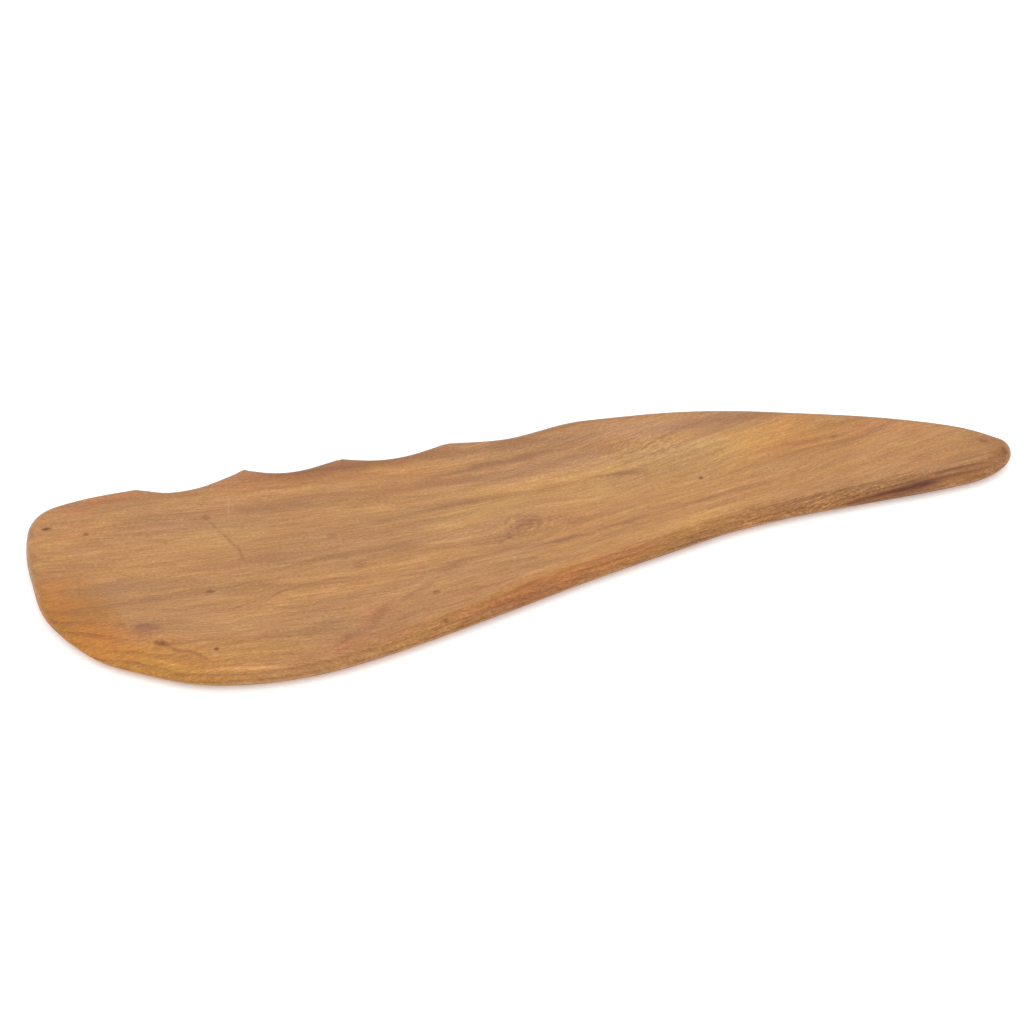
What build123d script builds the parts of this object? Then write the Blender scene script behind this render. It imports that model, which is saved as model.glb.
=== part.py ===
from build123d import *
import math
import os

os.makedirs("parts", exist_ok=True)

# Transfer board: one plank of solid wood with a rolled rim, four hand grips along one long edge,
# a broad butt at -X and a narrow tip at +X. Millimetres, +Z up.
# The origin is the middle of the underside, and the board lies flat on it.

board_length = 760
board_width = 250
thickness = 18

top_roll = 8.5      # radius that the rim is rolled to above
bottom_roll = 8.5   # and below

# The butt's front corner is thinned by a long shallow curve, sanded straight across it.
relief_turn = 37        # degrees that the curve's run turns away from +X, towards the front
relief_start = 224      # distance from the origin to where the curve leaves the top
relief_radius = 120
relief_reach = 80
relief_lift = 0.3       # the curve cuts the top at a slight angle, so that it leaves a clean line

end_x = board_length / 2
edge_y = board_width / 2

# The outline is a list of stations, clockwise seen from above. Each is a point on the rim and the
# way that the rim heads there, in degrees from +X, and two tangent arcs join each to the next.
butt_end = ((-end_x, 40), 90)
butt_shoulder = [((-371.5, 76), 50), ((-346, 88.6), 14)]

# Each hand grip dips from one crest to its lowest point and climbs to the next crest. A crest is a
# corner: a point, the heading that the rim arrives with and the heading that it leaves with.
crests = [((-296, 95.8), 4, -15), ((-213, 106.8), 28, -22), ((-138, 108), 17, -16)]
crests += [((-55, 114), 22, -5), ((28, 120), 16, 16)]
lowest_points = [(-267, 88.3), (-180, 98), (-104, 101.6), (-17, 111.3)]

brow = [((56, 124.6), 1), ((98, edge_y), 0), ((205, 111.8), -13)]
brow += [((280, 93), -16), ((340, 71.8), -24), ((367, 55), -40)]
tip = ((end_x, 39), -90)
front_edge = [((369, 20.5), -143), ((340, 7.8), -169), ((260, -2.3), -174), ((170, -13.9), -169)]
front_edge += [((128, -23.8), -162), ((0, -66.3), -159.5), ((-100, -102.1), -161)]
belly = ((-212, -edge_y), 180)
butt_front = [((-282, -111.7), 155), ((-343.2, -71.6), 131), ((-373.4, -14), 99)]


def heading(degrees):
    return Vector(math.cos(math.radians(degrees)), math.sin(math.radians(degrees)))


def join(start, finish):
    """Joins two stations with a pair of arcs, tangent to both headings and to each other."""
    start_point, finish_point = Vector(*start[0]), Vector(*finish[0])
    leave, arrive = heading(start[1]), heading(finish[1])
    gap = finish_point - start_point
    both = leave + arrive
    # Both legs are as long as leaves their inner ends two legs apart.
    reach = gap.dot(both)
    leg = gap.dot(gap) / (reach + math.sqrt(reach**2 + (4 - both.dot(both)) * gap.dot(gap)))
    inner_start = start_point + leave * leg
    inner_finish = finish_point - arrive * leg
    middle = (inner_start + inner_finish) / 2
    TangentArc(start_point, middle, tangent=leave)
    TangentArc(middle, finish_point, tangent=inner_finish - inner_start)


def chain(stations):
    for start, finish in zip(stations, stations[1:]):
        join(start, finish)


with BuildPart() as relief:
    run = heading(-relief_turn)
    across = Vector(run.Y, -run.X)
    relief_plane = Plane(origin=(0, 0, thickness), x_dir=across, z_dir=-run)
    with BuildSketch(relief_plane):
        with Locations((relief_start + relief_reach / 2, 0)):
            Rectangle(relief_reach, relief_reach / 2)
        with Locations((relief_start, relief_lift - relief_radius)):
            Circle(relief_radius, mode=Mode.SUBTRACT)
    extrude(amount=board_length, both=True)

with BuildPart() as board:
    with BuildSketch():
        with BuildLine():
            chain([butt_end, *butt_shoulder, crests[0][:2]])
            for crest, lowest_point, next_crest in zip(crests, lowest_points, crests[1:]):
                join((crest[0], crest[2]), (lowest_point, 0))
                join((lowest_point, 0), next_crest[:2])
            chain([(crests[-1][0], crests[-1][2]), *brow, tip])
            chain([tip, *front_edge, belly])
            chain([belly, *butt_front, butt_end])
        make_face()
    extrude(amount=thickness)
    fillet(board.faces().sort_by(Axis.Z)[-1].edges(), radius=top_roll)
    fillet(board.faces().sort_by(Axis.Z)[0].edges(), radius=bottom_roll)
    add(relief.part, mode=Mode.SUBTRACT)

board.part.label = "board"
export_step(board.part, "parts/board.step")
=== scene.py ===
import math

import bmesh
import bpy
import numpy as np
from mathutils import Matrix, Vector, geometry, kdtree, noise


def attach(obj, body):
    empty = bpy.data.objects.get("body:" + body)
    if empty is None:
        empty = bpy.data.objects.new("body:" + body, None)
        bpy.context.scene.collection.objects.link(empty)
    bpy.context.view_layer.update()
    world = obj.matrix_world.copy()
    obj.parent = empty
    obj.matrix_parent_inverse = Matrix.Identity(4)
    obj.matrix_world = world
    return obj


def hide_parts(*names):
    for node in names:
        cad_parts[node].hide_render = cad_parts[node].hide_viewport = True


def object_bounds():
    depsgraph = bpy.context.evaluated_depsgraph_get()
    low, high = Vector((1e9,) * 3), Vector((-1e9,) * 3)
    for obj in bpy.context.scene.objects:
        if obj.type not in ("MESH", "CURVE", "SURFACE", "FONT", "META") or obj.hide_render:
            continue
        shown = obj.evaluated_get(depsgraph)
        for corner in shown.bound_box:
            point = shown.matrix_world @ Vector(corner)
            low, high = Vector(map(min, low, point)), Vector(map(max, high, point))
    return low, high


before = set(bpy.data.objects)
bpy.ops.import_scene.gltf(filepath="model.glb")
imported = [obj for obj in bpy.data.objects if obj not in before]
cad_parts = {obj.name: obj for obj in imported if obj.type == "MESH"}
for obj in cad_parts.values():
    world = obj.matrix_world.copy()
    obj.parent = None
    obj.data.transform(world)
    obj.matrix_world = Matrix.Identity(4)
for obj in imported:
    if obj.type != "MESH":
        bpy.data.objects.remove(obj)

cad_low, cad_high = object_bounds()
THICKNESS = cad_high.z
MM = 0.001

# The rolled rim. The upper roll reaches further in than it is deep, as sanding by hand leaves it.
RIM_SPACING = 1.2 * MM
LOWER_ROLL = 8.5 * MM       # also the height at which the CAD rim stands upright
UPPER_ROLL = 9 * MM
SMALLEST_ROLL = 1.6 * MM
ROLL_REACH = 13 * MM
ROLL_RINGS = 14
INNER_RINGS = (15 * MM, 17.5 * MM)
ROLL_POWER = 2.1            # 2 is a true ellipse, more is squarer, and less is flatter
LOWER_SPREAD = 1.35         # a roll's reach inwards, as a share of its height
UPPER_SPREAD = 1.25
UPPER_SPREAD_CHANGE = 0.15
UPPER_SPREAD_SIZE = 90 * MM
CRISP_SPREAD = 0.15         # how much less the upper roll spreads along the crisp front edge
CRISP_POWER = 0.55          # and how much flatter it is there
FILL_SPACING = 4 * MM
FILL_MARGIN = 2.4 * MM      # room between the last ring and the filled middle

# The top falls a little towards the rim, and sanding by hand leaves slow dips in it.
CROWN = 0.5 * MM
CROWN_REACH = 20 * MM
DIP_DEPTH = 0.25 * MM
DIP_SIZE = 70 * MM

WORN_CRESTS = ((-55 * MM, 114 * MM), (28 * MM, 120 * MM))
WORN_REACH = 30 * MM
WORN_WIDTH = 5 * MM

CHIP_MIDDLE = (-139.6 * MM, 107.4 * MM)
CHIP_REACH = 2.6 * MM
CHIP_DEPTH = 0.8 * MM

# The butt's front corner is thinned by a long curve, sanded straight across it.
RELIEF_TURN = math.radians(37)
RELIEF_START = 222 * MM
RELIEF_RADIUS = 118 * MM


# ---------------------------------------------------------------- outline

def rim_points(node, height):
    """The CAD rim's plan points at a height, in order round the board."""
    level = {}
    for vertex in node.data.vertices:
        if abs(vertex.co.z - height) < 0.01 * MM:
            level[vertex.index] = (round(vertex.co.x, 6), round(vertex.co.y, 6))
    links = {}
    for edge in node.data.edges:
        a, b = (level.get(i) for i in edge.vertices)
        if a and b and a != b:
            links.setdefault(a, set()).add(b)
            links.setdefault(b, set()).add(a)
    first = min(links)
    walk = [first, min(links[first], key=lambda point: point[1])]
    while walk[-1] != first:
        walk += [point for point in links[walk[-1]] if point != walk[-2]]
    return np.array(walk[:-1])


def closed_curve(points, spacing):
    """A smooth closed curve through the points, as evenly spaced samples."""
    chord = np.roll(points, -1, axis=0) - points
    step = np.sqrt(np.linalg.norm(chord, axis=1, keepdims=True))
    speed = chord / step
    step_before, speed_before = np.roll(step, 1, axis=0), np.roll(speed, 1, axis=0)
    tangent = (speed_before * step + speed * step_before) / (step + step_before)
    t = np.linspace(0, 1, 24, endpoint=False)[None, :, None]
    ends = [a[:, None] for a in (points, points + chord, tangent, np.roll(tangent, -1, axis=0))]
    dense = (2 * t**3 - 3 * t**2 + 1) * ends[0] + (3 * t**2 - 2 * t**3) * ends[1]
    dense = dense + step[:, None] * ((t**3 - 2 * t**2 + t) * ends[2] + (t**3 - t**2) * ends[3])
    dense = dense.reshape(-1, 2)
    closed = np.vstack([dense, dense[:1]])
    along = np.concatenate([[0], np.cumsum(np.linalg.norm(np.diff(closed, axis=0), axis=1))])
    samples = np.linspace(0, along[-1], int(along[-1] / spacing), endpoint=False)
    return np.stack([np.interp(samples, along, closed[:, k]) for k in (0, 1)], axis=1)


def smooth_loop(values, width):
    """Gaussian smoothing round a closed loop, with the width in samples."""
    reach = max(1, int(4 * width))
    steps = np.arange(-reach, reach + 1)
    weights = np.exp(-0.5 * (steps / max(width, 0.01)) ** 2)
    rolled = [weight * np.roll(values, -step, axis=0) for weight, step in zip(weights, steps)]
    return sum(rolled) / weights.sum()


def inward(outline, width):
    """Unit normals of the outline that point into the board, turned gently over corners."""
    ahead = np.roll(outline, -1, axis=0) - np.roll(outline, 1, axis=0)
    normal = smooth_loop(np.stack([-ahead[:, 1], ahead[:, 0]], axis=1), width)
    return normal / np.linalg.norm(normal, axis=1, keepdims=True)


outline = closed_curve(rim_points(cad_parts["board"], LOWER_ROLL), RIM_SPACING)
outline = np.clip(outline, (cad_low.x, cad_low.y), (cad_high.x, cad_high.y))
# The last two crests are worn round.
worn = smooth_loop(outline, WORN_WIDTH / RIM_SPACING)
for crest in WORN_CRESTS:
    from_crest = np.linalg.norm(outline - crest, axis=1, keepdims=True) / WORN_REACH
    nearness = np.maximum(0, 1 - from_crest**2)
    outline = outline + (worn - outline) * nearness**2
# A small chip is missing from the third crest.
from_chip = np.linalg.norm(outline - CHIP_MIDDLE, axis=1) / CHIP_REACH
outline[:, 1] -= CHIP_DEPTH * np.maximum(0, 1 - from_chip**2)
rim_tree = kdtree.KDTree(len(outline))
for index, (x, y) in enumerate(outline):
    rim_tree.insert((x, y, 0), index)
rim_tree.balance()
rim_inward = inward(outline, 1)


def well_inside(x, y):
    """Whether a plan point is on the board, and further in than the last ring."""
    _, index, distance = rim_tree.find((x, y, 0))
    into_board = Vector((x, y)) - Vector(outline[index])
    far_enough = distance > INNER_RINGS[-1] + FILL_MARGIN
    return far_enough and into_board.dot(Vector(rim_inward[index])) > 0


# ---------------------------------------------------------------- form

def step_up(low, high, value):
    """Climbs smoothly from 0 at low to 1 at high, which may be the smaller of the two."""
    t = min(max((value - low) / (high - low), 0), 1)
    return t * t * (3 - 2 * t)


def relief(x, y):
    """How far the butt's front corner is cut down below the top."""
    over = -x * math.sin(RELIEF_TURN) - y * math.cos(RELIEF_TURN) - RELIEF_START
    if over <= 0:
        return 0
    return RELIEF_RADIUS - math.sqrt(RELIEF_RADIUS**2 - over**2)


def hand_sanded(x, y):
    """Depth of the slow dips that sanding leaves."""
    return DIP_DEPTH * (0.5 + 0.5 * noise.noise(Vector((x / DIP_SIZE, y / DIP_SIZE, 3.7))))


def roll_height(depth, rise, reach, power):
    """Height of a rolled edge above its foot, at a depth into the board."""
    if depth >= reach:
        return rise
    return rise * (1 - (1 - depth / reach) ** power) ** (1 / power)


def heights(x, y, depth):
    """Heights of the underside and the top at a plan point, at that depth in from the rim."""
    crown = CROWN * math.exp(-depth / CROWN_REACH)
    full = THICKNESS - relief(x, y) - hand_sanded(x, y) - crown
    lower = min(LOWER_ROLL, full - SMALLEST_ROLL)
    upper = min(UPPER_ROLL, full - lower)
    # The front edge is crisper from the butt to the tip.
    crisp = step_up(-150 * MM, -60 * MM, x) * step_up(0, -40 * MM, y - 0.15 * x)
    wander = noise.noise(Vector((x / UPPER_SPREAD_SIZE, y / UPPER_SPREAD_SIZE, 8.1)))
    spread = UPPER_SPREAD - CRISP_SPREAD * crisp + UPPER_SPREAD_CHANGE * wander
    bottom = lower - roll_height(depth, lower, LOWER_SPREAD * lower, ROLL_POWER)
    rise = roll_height(depth, upper, upper * spread, ROLL_POWER - CRISP_POWER * crisp)
    return bottom, full - upper + rise


def board_mesh():
    """The board's skin: rings that follow the rim inwards on both sides, and a filled middle."""
    count = len(outline)
    turns = np.linspace(0, math.pi / 2, ROLL_RINGS)
    depths = [ROLL_REACH * (1 - math.cos(turn)) for turn in turns] + list(INNER_RINGS)
    rings = [outline + inward(outline, 0.5 + 0.6 * d / RIM_SPACING) * d for d in depths]

    lows, highs, depths_in = [], [], []
    for ring in rings:
        for x, y in ring:
            depth = rim_tree.find((x, y, 0))[2]
            bottom, top = heights(x, y, depth)
            lows.append((x, y, bottom))
            highs.append((x, y, top))
            depths_in.append(depth)

    inner = [tuple(point) for point in rings[-1]]
    inside = []
    for x in np.arange(cad_low.x, cad_high.x, FILL_SPACING):
        for y in np.arange(cad_low.y, cad_high.y, FILL_SPACING):
            if well_inside(x, y):
                inside.append((x, y))
    flat = [Vector(point) for point in inner + inside]
    loop = [(k, (k + 1) % count) for k in range(count)]
    _, _, triangles, origins, _, _ = geometry.delaunay_2d_cdt(flat, loop, [], 1, 1e-7)

    last = (len(rings) - 1) * count
    half = len(rings) * count
    places = []
    for origin in origins:
        source = origin[0]
        if source < count:
            places.append(last + source)
        else:
            places.append(half + source - count)
    for x, y in inside:
        depth = rim_tree.find((x, y, 0))[2]
        bottom, top = heights(x, y, depth)
        lows.append((x, y, bottom))
        highs.append((x, y, top))
        depths_in.append(depth)

    side = len(lows)
    faces = []
    for ring in range(len(rings) - 1):
        for k in range(count):
            a, b = ring * count + k, ring * count + (k + 1) % count
            quad = (a, b, b + count, a + count)
            faces.append(quad)
            faces.append(tuple(side + v for v in reversed(quad)))
    for k in range(count):
        a, b = k, (k + 1) % count
        faces.append((a, side + a, side + b, b))
    for triangle in triangles:
        corner = [places[v] for v in triangle]
        faces.append(tuple(corner))
        faces.append(tuple(side + v for v in reversed(corner)))
    mesh = bpy.data.meshes.new("board_wood")
    mesh.from_pydata(lows + highs, [], faces)
    rim_depth = mesh.attributes.new("rim_depth", "FLOAT", "POINT")
    rim_depth.data.foreach_set("value", np.array(depths_in + depths_in, dtype=np.float32))
    shape = bmesh.new()
    shape.from_mesh(mesh)
    bmesh.ops.recalc_face_normals(shape, faces=shape.faces)
    shape.to_mesh(mesh)
    shape.free()
    mesh.shade_smooth()
    return mesh


board = bpy.data.objects.new("board_wood", board_mesh())
bpy.context.scene.collection.objects.link(board)
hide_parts("board")
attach(board, "root")


# ---------------------------------------------------------------- wood

wood = bpy.data.materials.new("oiled_wood")
wood.use_nodes = True
board.data.materials.append(wood)
nodes, links = wood.node_tree.nodes, wood.node_tree.links
shader = nodes["Principled BSDF"]


class Field:
    """A number that the shader works out at each point. Fields combine as numbers do."""

    def __init__(self, socket):
        self.socket = socket

    def __add__(self, other):
        return worked("ADD", self, other)

    def __sub__(self, other):
        return worked("SUBTRACT", self, other)

    def __mul__(self, other):
        return worked("MULTIPLY", self, other)

    __radd__, __rmul__ = __add__, __mul__

    def __rsub__(self, other):
        return worked("SUBTRACT", other, self)

    def __truediv__(self, other):
        return worked("DIVIDE", self, other)


def plug(value, socket):
    if isinstance(value, Field):
        links.new(value.socket, socket)
    else:
        socket.default_value = value


def worked(operation, *values):
    node = nodes.new("ShaderNodeMath")
    node.operation = operation
    for value, socket in zip(values, node.inputs):
        plug(value, socket)
    return Field(node.outputs[0])


def point(x, y, z):
    node = nodes.new("ShaderNodeCombineXYZ")
    for value, socket in zip((x, y, z), node.inputs):
        plug(value, socket)
    return Field(node.outputs[0])


def ramp(value, low, high, kind="SMOOTHSTEP"):
    """Climbs from 0 at low to 1 at high, which may be the smaller of the two."""
    node = nodes.new("ShaderNodeMapRange")
    node.interpolation_type = kind
    plug(value, node.inputs["Value"])
    node.inputs["From Min"].default_value = low
    node.inputs["From Max"].default_value = high
    return Field(node.outputs["Result"])


def clouds(where, detail=2, rough=0.5):
    """Noise round 0, mostly within a third of it."""
    node = nodes.new("ShaderNodeTexNoise")
    plug(where, node.inputs["Vector"])
    node.inputs["Scale"].default_value = 1
    node.inputs["Detail"].default_value = detail
    node.inputs["Roughness"].default_value = rough
    return Field(node.outputs["Fac"]) * 2 - 1


def spot(where, middle, length, width, turn):
    """1 in the middle of an ellipsoid, fading to 0 at its edge. The turn is as seen from above."""
    along_x, along_y = math.cos(math.radians(turn)), math.sin(math.radians(turn))
    middle_along = middle[0] * along_x + middle[1] * along_y
    middle_over = middle[1] * along_x - middle[0] * along_y
    x, y, below = where
    along = worked("MULTIPLY_ADD", y, along_y / length, -middle_along / length)
    along = worked("MULTIPLY_ADD", x, along_x / length, along)
    over = worked("MULTIPLY_ADD", y, along_x / width, -middle_over / width)
    over = worked("MULTIPLY_ADD", x, -along_y / width, over)
    far = worked("MULTIPLY_ADD", over, over, below)
    near = worked("MAXIMUM", 1 - worked("MULTIPLY_ADD", along, along, far), 0)
    return near * near


def below_top(deep):
    """How far a point is below the top, as a share of deep, squared."""
    share = (z - 18) / deep
    return share * share


def climb(x, start, end, slope):
    """A line that is level up to start, and climbs at the slope from end on."""
    t = ramp(x, start, end, "LINEAR")
    return (t * t * t * (1 - t * 0.5) * (end - start) + worked("MAXIMUM", x - end, 0)) * slope


def total(where, marks):
    """The sum of marks, each (middle, half length, half width, turn in degrees, amount)."""
    amounts = 0
    for middle, length, width, turn, amount in marks:
        amounts = worked("MULTIPLY_ADD", spot(where, middle, length, width, turn), amount, amounts)
    return amounts


# Everything below is in millimetres, from the middle of the underside.
coordinates = nodes.new("ShaderNodeTexCoord")
millimetres = nodes.new("ShaderNodeVectorMath")
millimetres.operation = "SCALE"
millimetres.inputs["Scale"].default_value = 1000
links.new(coordinates.outputs["Object"], millimetres.inputs[0])
place = Field(millimetres.outputs[0])
parts = nodes.new("ShaderNodeSeparateXYZ")
plug(place, parts.inputs[0])
x, y, z = (Field(parts.outputs[k]) for k in range(3))
rim = nodes.new("ShaderNodeAttribute")
rim.attribute_name = "rim_depth"
depth = Field(rim.outputs["Fac"]) * 1000

# The grain runs along the butt, then climbs towards the far edge, sooner near the front edge. It
# parts round each knot, and wanders.
KNOTS = [((-10, -1), 24, 44, 0.75), ((-286, -84), 9, 16, 0.7), ((-138, -24), 6, 12, 0.6)]
KNOTS += [((-364, 54), 6, 12, 0.6), ((-248, -36), 5, 12, 0.6), ((-246, 48), 5, 10, 0.5)]
across = y
deep = below_top(40)
for knot, width, length, strength in KNOTS:
    round_knot = spot((x, y, deep), knot, length * 1.6, width * 1.6, 8)
    across = across - (y - knot[1]) * round_knot * strength
across = across - climb(x, -200, 130, 0.34)
across = across - climb(x, -175, -95, 0.26) * ramp(y, 30, -110)
across = across + clouds(point(x / 120, y / 60, z / 60), 1) * 7
across = across + clouds(point(x / 45, across / 11, z / 20), 1) * 0.9

# Growth rings lie nearly flat, so that they show as broad bands on the top, and as close lines
# round the rim and across the relief.
rings = z * 0.21 + across * 0.042 + clouds(point(x / 190, across / 42, z / 60), 1) * 1.5
rings = rings + clouds(point(x / 60, across / 12, z / 12), 2) * 0.22
turn = worked("FRACT", rings)
late_wood = ramp(turn, 0.35, 0.9) * ramp(turn, 1.0, 0.93)
ring_strength = ramp(clouds(point(x / 150, across / 20, z / 9), 1), -0.35, 0.45)
ring_strength = ring_strength + ramp(z, 17.6, 14) * 0.7

fibres = clouds(point(x / 15, across / 1.5, z / 5), 2, 0.6)
fine_fibres = clouds(point(x / 2.6, across / 0.75, z / 1.5), 1, 0.6)
bands = clouds(point(x / 90, across / 4.2, z / 12), 3, 0.6)
drift = clouds(point(x / 120, across / 30, z / 30), 2)
pores = ramp(clouds(point(x / 5, across / 0.4, z / 0.4), 1), 0.36, 0.6)

ragged_x = x + clouds(point(x / 24, y / 9, z / 9)) * 12
ragged_y = y + clouds(point(x / 30, y / 12, z / 9 + 40), 1) * 5
rosy = clouds(point(x / 55, across / 16, z / 20 + 9), 2)

# Painted shade: the colour is made darker and more orange towards the rim, where the rolled edge turns
# down. This is strongest along the front edge, and weaker across the butt's thinned front corner and
# its left end. The same rim mask also strengthens the fibres along the front edge.
front = ramp(y - climb(x, -250, 100, 0.15), 20, -20)
edge = ramp(depth, 12, 3) * (1 - front) + ramp(depth, 10.5, 6.5) * front
edge = edge * (1 - front * ramp(x, -60, -200)) * (1 - ramp(x, -325, -370) * 0.8)
fine = fibres * 0.44 + fine_fibres * 0.52 - pores * 0.26 + (fine_fibres + fibres) * edge * front * 0.2
tone = 0.03 + bands * 0.28 + drift * 0.2 - late_wood * ring_strength * 0.2
# The painted rim shade darkens the tone here, and warms the colour on the next line.
tone = tone - edge * (0.26 - front * 0.08)
warmth = drift * 0.7 + bands * 0.25 + edge * 0.5

# Marks that this board has, and painted highlights, each (middle, half length, half width, turn in
# degrees, amount).
# Small dark knots.
PIN_KNOTS = [
    ((-364, 54), 5, 3, 5, -1.3), ((-335, 43), 3.6, 2.6, 0, -0.9), ((-246, 48), 5, 4, 20, -0.35),
    ((-248, -36), 5, 2.6, 0, -0.8), ((-248, -97), 2.8, 2.4, 0, -1.1), ((-314, -60), 6, 4, 0, -0.3),
    ((-286, -84), 8, 3.6, -25, -0.8), ((-87, -63), 5, 3, 10, -0.6), ((131, 33), 2.7, 2.2, 0, -1.3),
    ((-84, -92), 3, 2.6, 0, -0.7), ((-138, -24), 9, 6, 30, -0.25), ((-155, 11), 6, 5, 0, -0.22),
    ((358, 42), 6, 3, -30, -0.5), ((372, 30), 6, 4, 60, -0.5), ((245, 66), 5, 3, 10, -0.3),
]
# Dark streaks and patches.
DARK = [
    ((-165, 90), 75, 17, 0, -0.5), ((-92, 95), 70, 14, 3, -0.42), ((-170, 58), 75, 7, 1, -0.2),
    ((-20, 76), 75, 5, 11, -0.42), ((-60, 60), 85, 6, 4, -0.3), ((30, 72), 60, 6, 8, -0.25),
    ((-40, 36), 60, 6, 6, -0.22), ((68, 48), 28, 4.5, 0, -0.42), ((-200, -6), 70, 9, 3, -0.2),
    ((-215, -30), 60, 2.4, 6, -0.22), ((-170, -15), 60, 4, 9, -0.22), ((-225, -54), 35, 2.2, 12, -0.22),
    ((-195, -44), 18, 2.5, 28, -0.3), ((-155, -38), 42, 2.4, 2, -0.24),
    ((-60, -33), 70, 3.5, 14, -0.24), ((15, -21), 45, 4, 9, -0.35), ((62, -8), 30, 5, 8, -0.25),
    ((20, 2), 26, 7, -12, -0.16), ((-9, 3), 15, 9, 35, -0.34), ((-25, -9), 18, 3.5, 60, -0.3),
    ((-100, -60), 26, 3, 36, -0.3), ((-130, -80), 24, 6, 50, -0.3), ((-155, -100), 20, 5, 30, -0.25),
    ((-340, 5), 45, 8, 0, -0.14), ((-310, -22), 60, 12, 0, -0.16), ((-297, -68), 14, 10, -20, -0.32),
    ((-350, -40), 50, 45, -40, -0.16), ((165, 102), 75, 9, 5, -0.3), ((60, 82), 40, 10, 0, -0.14),
    ((225, 64), 45, 3.5, 8, -0.3), ((350, 11), 40, 8, 15, -0.2), ((300, 8), 70, 12, 10, -0.2),
    ((366, 30), 14, 24, 0, -0.22), ((-270, -95), 30, 2.6, -36, -0.4), ((-300, 78), 80, 12, 5, -0.14),
    ((-10, 97), 80, 8, 4, -0.2), ((100, -34), 90, 9, 20, -0.08), ((-10, -73), 90, 9, 20, -0.22),
    ((-120, 52), 40, 14, 2, -0.12), ((320, 32), 60, 18, 0, -0.1), ((358, 46), 18, 14, 0, -0.2),
]
# Pale streaks and patches.
PALE = [
    ((-338, 18), 66, 5, 3, 0.32), ((-210, 72), 60, 7, 0, 0.14), ((-60, 82), 75, 4, 4, 0.1),
    ((155, 70), 115, 26, 6, 0.28), ((20, 50), 110, 12, 6, 0.24), ((-50, 16), 60, 16, 14, 0.18),
    ((50, 28), 90, 16, 8, 0.16), ((-70, -45), 90, 14, 18, 0.14), ((330, 33), 45, 5, 14, 0.08),
    ((-60, -10), 55, 13, 8, 0.18), ((-235, -72), 45, 16, 0, 0.1), ((120, -14), 70, 14, 20, 0.14),
    ((-235, 22), 70, 20, 0, 0.13), ((-350, -60), 60, 34, -55, 0.12), ((-100, -104), 60, 12, 14, 0.16),
    ((160, -30), 30, 10, 20, 0.2), ((-285, -108), 40, 10, -24, 0.12),
]
# Thin crisp lines, mostly near the tip.
STREAKS = [
    ((222, -8), 42, 1.8, 11, -0.5), ((262, -1), 44, 1.5, 9, -0.9), ((294, 3), 30, 4, 6, -0.45),
    ((286, 1.5), 40, 1.6, 8, -0.75), ((330, 14), 40, 1.5, 9, -0.5), ((318, 8), 44, 1.5, 9, -0.55),
    ((345, 24), 36, 1.6, 13, -0.35), ((205, -12), 50, 1.8, 11, -0.45), ((280, -4), 18, 1.6, 10, 0.5),
    ((300, 5), 15, 2.4, 8, -0.4), ((250, -7), 28, 1.5, 10, -0.45), ((-22, -66), 24, 2.4, 22, -0.4),
    ((120, -32), 40, 1.6, 18, -0.3), ((160, -20), 34, 1.4, 14, -0.25),
]
# Painted highlights: pale lines along the front edge, where its arris catches the light.
PAINTED_ARRIS_HIGHLIGHTS = [
    ((-20, -56), 34, 2.6, 21, 0.26), ((-236, -117.5), 46, 2.2, -7, 0.45),
    ((-285, -101), 30, 2, -28, 0.2),
]
# A bent dark scratch, and three pale ones.
SCRATCHES = [
    ((-241, 38), 16, 1.9, -64, -0.22), ((-231, 20), 18, 2.1, -62, -0.32),
    ((-223, 3), 16, 2, -80, -0.28), ((-228, 56), 16, 1.6, 84, 0.2), ((-199, 66), 13, 1.6, 80, 0.16),
    ((-236, 40), 18, 1.4, 72, 0.12),
]
# More orange.
WARM = [
    ((-352, -56), 84, 50, -56, 3.4), ((-290, -108), 100, 36, -30, 2.4), ((215, 68), 90, 36, 5, 0.9),
    ((-215, -105), 70, 24, -5, 0.6), ((200, 20), 80, 20, 15, 0.3), ((-365, 20), 30, 20, 0, 0.4),
    ((-20, -66), 115, 10, 20, 0.9), ((-190, 82), 60, 16, 2, 0.5), ((-145, -108), 60, 12, 14, 0.5),
    ((90, -36), 100, 12, 20, 0.4), ((365, 35), 16, 20, 0, 0.3), ((-330, 80), 60, 14, 12, 0.3),
]
# Redder, or greener where the amount is below 0.
ROSY = [
    ((-200, 88), 100, 22, 0, 1.0), ((-330, 80), 60, 16, 14, 1.2), ((-335, 45), 40, 14, 0, 0.8),
    ((-297, -68), 18, 12, -20, 1.0), ((-135, -84), 34, 12, 48, 1.2), ((-10, 2), 18, 12, 0, 0.3),
    ((110, 55), 120, 44, 8, -0.9), ((-30, 30), 90, 22, 8, -0.9), ((-290, -108), 80, 22, -30, -1.0),
    ((-322, -68), 34, 20, -50, 1.2), ((170, -21), 120, 9, 14, 0.8), ((-362, -25), 40, 30, -60, 0.5),
    ((280, 70), 50, 14, -5, 0.9), ((0, -63), 115, 9, 20, 2.0), ((-150, -108), 70, 12, 14, 1.0),
    ((-230, 30), 60, 14, 0, -0.7),
]
# Less orange.
COOL = [
    ((-310, -20), 60, 16, 0, 0.5), ((100, 100), 110, 18, 2, 1.1), ((-280, 45), 70, 16, 0, 0.3),
    ((-170, -5), 100, 16, 4, 0.3), ((20, 66), 130, 22, 6, 0.9), ((300, -4), 60, 12, 8, 1.2),
    ((-297, -68), 16, 12, 0, 0.5), ((120, 70), 50, 16, 6, 0.4), ((-90, 40), 80, 20, 6, 0.2),
    ((-60, -5), 80, 20, 6, 0.2),
]

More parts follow.
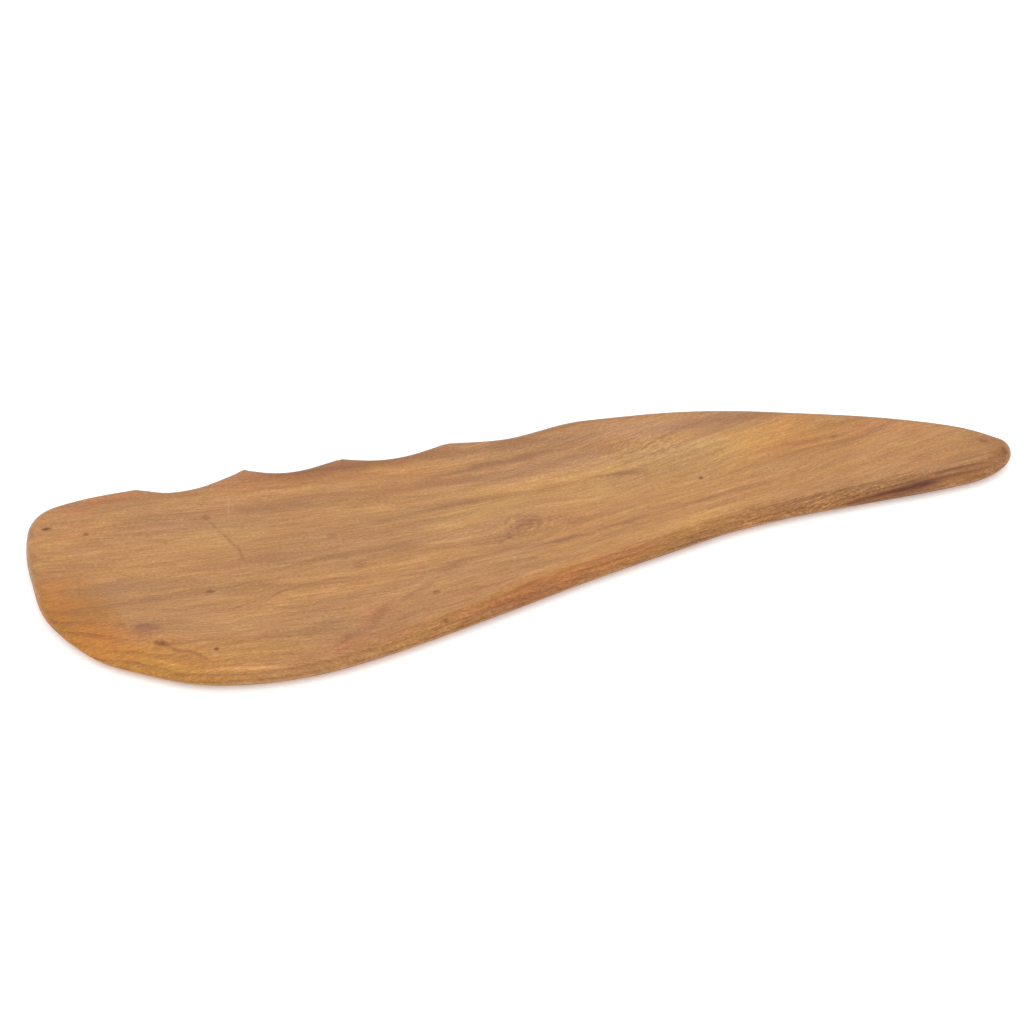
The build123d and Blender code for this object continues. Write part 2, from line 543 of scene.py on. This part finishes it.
shallow, deep = below_top(9), below_top(26)
ragged = (ragged_x, ragged_y, deep)
streaky = 1 + bands * 1.1 + fibres * 0.9
pins = total((x, y, shallow), PIN_KNOTS)
lines = total((x, y, deep), STREAKS) * (1 + fibres * 1.6 + fine_fibres * 1.2)
# The tone takes the pin knots, the streaks, the scratches and the painted arris highlights.
tone = tone + pins + lines + total((x, y, shallow), SCRATCHES) + total((x, y, deep), PAINTED_ARRIS_HIGHLIGHTS)
shades = total(ragged, DARK) * streaky + total(ragged, PALE) * (1 + bands * 0.5)
tone = tone + shades
warmth = warmth + total(ragged, WARM) - total(ragged, COOL) - pins * 0.7 - lines * 0.5
rosy = rosy + total(ragged, ROSY) - shades * 1.6 - bands * 0.4 - (pins + lines) * 2.2

# The largest knot shows its own rings.
knot_x, knot_y = (ragged_x + 10) / 1.5, ragged_y + 1
knot_radius = worked("SQRT", knot_x * knot_x + knot_y * knot_y)
knot_rings = worked("SINE", knot_radius * 1.5) * spot(ragged, (-10, -1), 36, 20, 15)
tone = tone + knot_rings * 0.17

# Short torn fibres near the far edge, where the grain turns.
FLECK_TURN = math.radians(35)
along_flecks = x * math.cos(FLECK_TURN) + y * math.sin(FLECK_TURN)
over_flecks = y * math.cos(FLECK_TURN) - x * math.sin(FLECK_TURN)
flecked = spot(ragged, (95, 76), 70, 32, -8)
flecks = clouds(point(along_flecks / 6, over_flecks / 1.6, z / 3), 2, 0.6) * flecked

# The grain is rougher and a little darker along the front edge near the tip.
rough_grain = spot((x, y, deep), (240, -4), 150, 17, 11)
fine = fine + flecks * 0.75 + (fibres + fine_fibres) * rough_grain * 0.5
tone = tone - rough_grain * 0.06

# ---- colour

red = worked("EXPONENT", tone * 0.87 + fine * 0.74 + warmth * 0.02 + rosy * 0.02) * 0.402
green = worked("EXPONENT", tone + fine - warmth * 0.05 - rosy * 0.06) * 0.188
blue = worked("EXPONENT", tone + fine * 1.6 - warmth * 0.36) * 0.062
colour = nodes.new("ShaderNodeCombineColor")
for value, socket in zip((red, green, blue), colour.inputs):
    plug(value, socket)
links.new(colour.outputs[0], shader.inputs["Base Color"])

# ---- surface

roughness = 0.46 + fibres * 0.12 + drift * 0.08 - ramp(depth, 9, 1) * 0.06 + flecked * 0.08
plug(roughness, shader.inputs["Roughness"])
shader.inputs["Specular IOR Level"].default_value = 0.36
bump_height = fibres * 0.04 + fine_fibres * 0.03 - pores * 0.05 + flecks * 0.10 + bands * 0.04
bump = nodes.new("ShaderNodeBump")
bump.inputs["Distance"].default_value = 0.001
bump.inputs["Strength"].default_value = 1.0
plug(bump_height, bump.inputs["Height"])
links.new(bump.outputs["Normal"], shader.inputs["Normal"])

# ---------------------------------------------------------------- stage

HORIZON_LIGHT = 0.55
OVERHEAD_LIGHT = 1.55
FLOOR_REACH = 30
floor_mesh = bpy.data.meshes.new("floor")
CORNERS = ((-1, -1), (1, -1), (1, 1), (-1, 1))
floor_corners = [(side * FLOOR_REACH, end * FLOOR_REACH, 0) for side, end in CORNERS]
floor_mesh.from_pydata(floor_corners, [], [(0, 1, 2, 3)])
floor = bpy.data.objects.new("floor", floor_mesh)
bpy.context.scene.collection.objects.link(floor)
paper = bpy.data.materials.new("white_paper")
paper.use_nodes = True
surface = paper.node_tree.nodes["Principled BSDF"]
surface.inputs["Base Color"].default_value = (0.95, 0.95, 0.95, 1)
surface.inputs["Roughness"].default_value = 0.9
surface.inputs["Specular IOR Level"].default_value = 0.1
surface.inputs["Emission Color"].default_value = (1, 1, 1, 1)
surface.inputs["Emission Strength"].default_value = 0.22
floor_mesh.materials.append(paper)

# The studio is brightest overhead and darker towards the horizon.
world = bpy.data.worlds.new("studio")
world.use_nodes = True
sky, sky_links = world.node_tree.nodes, world.node_tree.links
direction = sky.new("ShaderNodeTexCoord")
upward = sky.new("ShaderNodeSeparateXYZ")
sky_links.new(direction.outputs["Generated"], upward.inputs[0])
brightness = sky.new("ShaderNodeMapRange")
sky_links.new(upward.outputs["Z"], brightness.inputs["Value"])
brightness.inputs["To Min"].default_value = HORIZON_LIGHT
brightness.inputs["To Max"].default_value = OVERHEAD_LIGHT
sky_links.new(brightness.outputs["Result"], sky["Background"].inputs["Strength"])
sky["Background"].inputs["Color"].default_value = (1, 1, 1, 1)
bpy.context.scene.world = world
bpy.context.scene.view_settings.view_transform = "Standard"

# The camera looks down on the middle of the board, from the front and a little to its left.
VIEW_TURN = math.radians(9.4)
VIEW_FALL = math.radians(40)
VIEW_WIDTH = math.radians(24)
VIEW_DISTANCE = 1838.6 * MM
AIM = Vector((-14.7, 37.6, 0)) * MM
look = Vector((math.sin(VIEW_TURN) * math.cos(VIEW_FALL), math.cos(VIEW_TURN) * math.cos(VIEW_FALL),
               -math.sin(VIEW_FALL)))
camera_data = bpy.data.cameras.new("camera")
camera_data.angle = VIEW_WIDTH
camera = bpy.data.objects.new("camera", camera_data)
camera.location = AIM - look * VIEW_DISTANCE
camera.rotation_euler = look.to_track_quat("-Z", "Y").to_euler()
bpy.context.scene.collection.objects.link(camera)
bpy.context.scene.camera = camera
